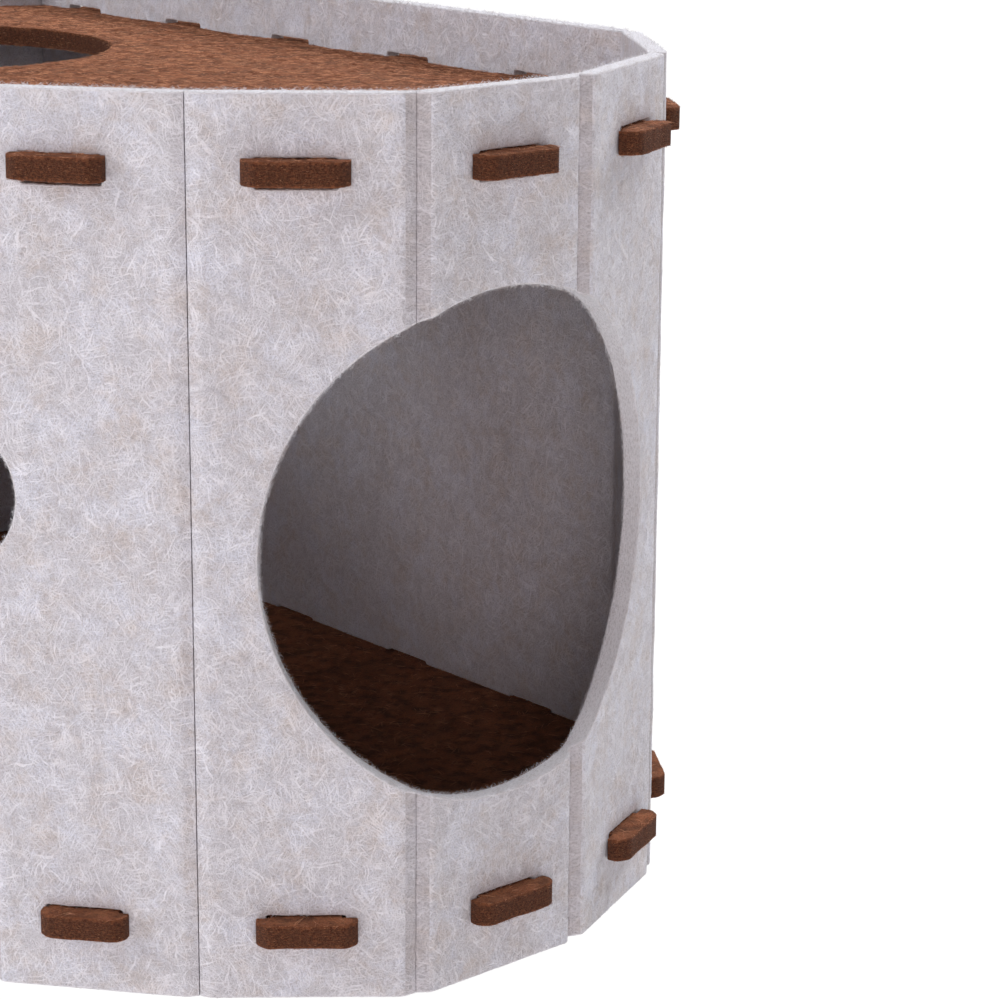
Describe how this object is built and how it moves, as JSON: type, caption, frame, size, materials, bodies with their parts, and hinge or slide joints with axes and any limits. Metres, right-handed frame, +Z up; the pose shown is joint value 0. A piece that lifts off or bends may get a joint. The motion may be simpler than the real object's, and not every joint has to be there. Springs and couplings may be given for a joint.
{
  "type": "felt cat house",
  "caption": "Free-standing cat house of slotted felt: a folded wall strip with a round door, an end panel, a floor board and a top board with a round hatch, locked by hammerhead tabs.",
  "frame": {"origin": "on the ground, under the middle of the whole house, tabs included", "axes": "+X towards the door end, +Z up, -Y towards the side with the peephole"},
  "size_m": [0.5266, 0.3002, 0.3],
  "materials": {
    "light_felt": "matte light grey melange pressed felt, faintly lilac, with loose surface fibres",
    "brown_felt": "matte brown pressed felt with paler long fibres and darker cut edges"
  },
  "bodies": {
    "root": {"wall_strip": "light_felt", "end_panel": "light_felt", "top_board": "brown_felt", "floor_board": "brown_felt"}
  },
  "joints": []
}
